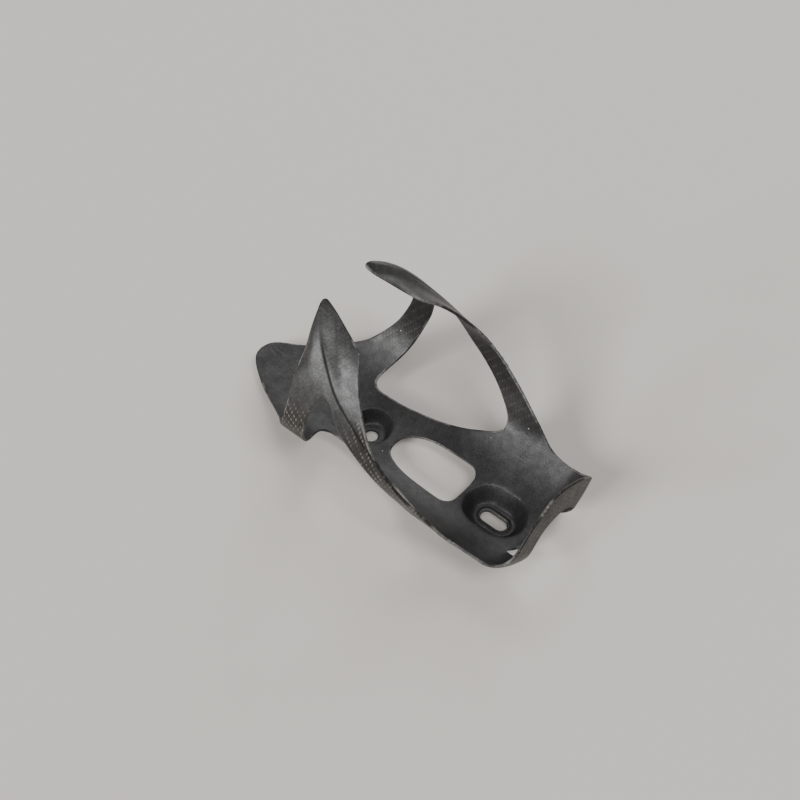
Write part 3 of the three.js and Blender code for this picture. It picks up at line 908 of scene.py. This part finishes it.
def carbon(name, tint, weave_turn, roughness):
    """A carbon laminate: twill under a thin matt resin, with scuffs, specks and worn cut edges, painted sheen
    on the floating bundles, and painted shade along the crease and on the bare weave.
    """
    nodes = Nodes(name)
    place = nodes.attribute("laminate")
    distance, grooved, weave = nodes.parts(nodes.attribute("marks"))
    depth = nodes.parts(place)[2]
    floating_sheen, height = twill(nodes, place, weave_turn)
    cloudy = nodes.noise(place, *CLOUDS)
    grain = nodes.noise(place, *GRAIN)
    patches = nodes.noise(nodes.mapped(place, shift=WEAVE_SHIFT), *WEAVE_PATCHES)
    patchy = nodes.ramp(patches, *WEAVE_PATCH_STEP)
    weave = nodes.math("MULTIPLY", weave, nodes.ramp(depth, *WEAVE_DEPTH_STEP))
    showing = nodes.math("MULTIPLY", weave, patchy)
    cloud_shade = nodes.math("MULTIPLY", nodes.math("SUBTRACT", cloudy, 0.5), CLOUD_CONTRAST)
    grain_shade = nodes.math("MULTIPLY", nodes.math("SUBTRACT", grain, 0.5), GRAIN_CONTRAST)
    shade = nodes.math("ADD", cloud_shade, grain_shade)
    colour = nodes.mix(nodes.math("ADD", shade, 0.5, clamp=True), BLACK_RESIN, GREY_RESIN)
    colour = nodes.mix(1.0, colour, tint, "MULTIPLY")
    # Bare weave where the weave shows, which is also painted shade on the downward-facing arm roots and foot.
    colour = nodes.mix(nodes.math("MULTIPLY", weave, BARE_WEAVE_AND_SHADE_SHARE, clamp=True), colour, BARE_WEAVE_AND_SHADE)
    # Painted sheen on the crowns of the floating bundles, where the weave shows.
    fibre_sheen = nodes.math("MULTIPLY", nodes.math("MULTIPLY", floating_sheen, showing), FIBRE_SHEEN_SHARE, clamp=True)
    colour = nodes.mix(fibre_sheen, colour, PALE_FIBRE_SHEEN)
    rubbed = scuffs(nodes, place)
    colour = nodes.mix(nodes.math("MULTIPLY", rubbed, RUBBED_SHARE), colour, RUBBED)
    # Painted shade along the crease's groove, broken up by the grain; it also roughens the resin and takes
    # away its gloss.
    crease_shade = nodes.math("MULTIPLY", grooved, nodes.ramp(grain, *CREASE_SHADE_GRAIN_STEP), clamp=True)
    colour = nodes.mix(crease_shade, colour, CREASE_SHADE)
    worn = edge_wear(nodes, place, distance)
    colour = nodes.mix(nodes.math("MULTIPLY", worn, WORN_SHARE), colour, WORN_EDGE)
    colour = nodes.mix(nodes.math("MULTIPLY", specks(nodes, place), SPECK_SHARE), colour, SPECK)
    nodes.link(colour, nodes.shader.inputs["Base Color"])
    cloud_rough = nodes.math("MULTIPLY", nodes.math("SUBTRACT", cloudy, 0.5), CLOUD_ROUGHNESS)
    marks_rough = nodes.math("MULTIPLY", nodes.math("ADD", worn, crease_shade), WORN_ROUGHNESS)
    rough = nodes.math("ADD", roughness, cloud_rough)
    nodes.link(nodes.math("ADD", rough, marks_rough, clamp=True), nodes.shader.inputs["Roughness"])
    gloss = nodes.math("SUBTRACT", RESIN_GLOSS, nodes.math("MULTIPLY", weave, WEAVE_GLOSS_LOSS))
    patches = nodes.noise(nodes.mapped(place, shift=CLEAN_SHIFT), *CLEAN_PATCHES)
    gloss = nodes.math("MULTIPLY", gloss, nodes.ramp(patches, *GLOSS_CLEAN_STEP))
    gloss = nodes.math("MULTIPLY", gloss, nodes.ramp(depth, *GLOSS_DEPTH_STEP))
    gloss = nodes.math("MULTIPLY", gloss, nodes.ramp(crease_shade, *GLOSS_CREASE_SHADE_STEP))
    gloss = nodes.math("MULTIPLY", gloss, nodes.ramp(grain, *GLOSS_GRAIN_STEP))
    nodes.link(gloss, nodes.shader.inputs["Specular IOR Level"])
    nodes.shader.inputs["IOR"].default_value = RESIN_IOR
    grain_relief = nodes.math("MULTIPLY", grain, GRAIN_RELIEF)
    relief = nodes.math("ADD", nodes.math("MULTIPLY", height, showing), grain_relief)
    bump = nodes.tree.nodes.new("ShaderNodeBump")
    bump.inputs["Strength"].default_value = BUMP_STRENGTH
    bump.inputs["Distance"].default_value = BUMP_METRES
    nodes.link(relief, bump.inputs["Height"])
    nodes.link(bump.outputs["Normal"], nodes.shader.inputs["Normal"])
    return nodes.material


satin_carbon = carbon("satin_carbon", tint=(1.0, 0.97, 0.92, 1.0), weave_turn=8.0, roughness=0.40)
matt_carbon = carbon("matt_carbon", tint=(1.05, 1.0, 0.98, 1.0), weave_turn=0.0, roughness=0.47)

slots = {entry["node"]: entry["material_slot"] for entry in frame["record"]["subparts"]}
for node, piece in build_shell().items():
    slot = slots[node]
    piece.data.materials.append(satin_carbon if slot == "satin_carbon" else matt_carbon)
    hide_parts(node)
    if node.startswith(("left_", "right_")):
        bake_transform(piece)
    else:
        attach(piece, "shell")


# ---- floor, light and camera ----
FLOOR_HALF = 4.0
FLOOR_GAP = 0.0002  # the floor lies this far below the seats
FLOOR_COLOUR = (0.56, 0.53, 0.49, 1.0)
FLOOR_ROUGHNESS = 0.8
ROOM_COLOUR = (1.0, 0.99, 0.97, 1.0)
ROOM_STRENGTH = 0.15
# Distant lights: the way towards each, how many degrees of the sky it covers, and its strength.
LIGHTS = [
    ("key", (0.42, 0.95, 0.27), 18.0, 1.6),
    ("high_key", (0.03, 0.83, 0.59), 19.0, 2.6),
    ("back", (0.32, -0.95, 0.43), 30.0, 0.85),
    ("top", (0.4, -0.45, 0.92), 26.0, 0.65),
    ("side", (-0.48, 0.16, 0.88), 20.0, 1.5),
]
CAMERA_PLACE = Vector((-0.2439, 0.2970, 0.5264))
CAMERA_AIM = Vector((0.00866, -0.01049, 0.020))
CAMERA_ROLL = 1.33  # degrees
LENS = 72.0
SENSOR_WIDTH = 36.0
CLIP_START = 0.01


def floor():
    mesh = bpy.data.meshes.new("floor")
    corners = [(x * FLOOR_HALF, y * FLOOR_HALF, 0) for x, y in ((-1, -1), (1, -1), (1, 1), (-1, 1))]
    mesh.from_pydata(corners, [], [(0, 1, 2, 3)])
    item = add_object("floor", mesh)
    nodes = Nodes("floor")
    nodes.shader.inputs["Base Color"].default_value = FLOOR_COLOUR
    nodes.shader.inputs["Roughness"].default_value = FLOOR_ROUGHNESS
    mesh.materials.append(nodes.material)
    item.location.z = -FLOOR_GAP


def soft_light(name, towards, width, strength):
    light = bpy.data.lights.new(name, "SUN")
    light.angle = math.radians(width)
    light.energy = strength
    item = add_object(name, light)
    item.location = towards
    item.rotation_euler = Vector(towards).to_track_quat("Z", "Y").to_euler()


def lights():
    world = bpy.data.worlds.new("soft_room")
    bpy.context.scene.world = world
    world.use_nodes = True
    background = world.node_tree.nodes["Background"]
    background.inputs["Color"].default_value = ROOM_COLOUR
    background.inputs["Strength"].default_value = ROOM_STRENGTH
    for name, towards, width, strength in LIGHTS:
        soft_light(name, towards, width, strength)


def camera():
    data = bpy.data.cameras.new("camera")
    data.lens = LENS
    data.sensor_width = SENSOR_WIDTH
    data.clip_start = CLIP_START
    item = add_object("camera", data)
    back = (CAMERA_PLACE - CAMERA_AIM).normalized()
    right = Vector((-back.y, back.x, 0)).normalized()
    up = back.cross(right)
    turn = math.radians(CAMERA_ROLL)
    rolled_right = math.cos(turn) * right + math.sin(turn) * up
    rolled_up = back.cross(rolled_right)
    item.matrix_world = Matrix((
        (rolled_right.x, rolled_up.x, back.x, CAMERA_PLACE.x),
        (rolled_right.y, rolled_up.y, back.y, CAMERA_PLACE.y),
        (rolled_right.z, rolled_up.z, back.z, CAMERA_PLACE.z),
        (0, 0, 0, 1),
    ))
    bpy.context.scene.camera = item


floor()
lights()
camera()
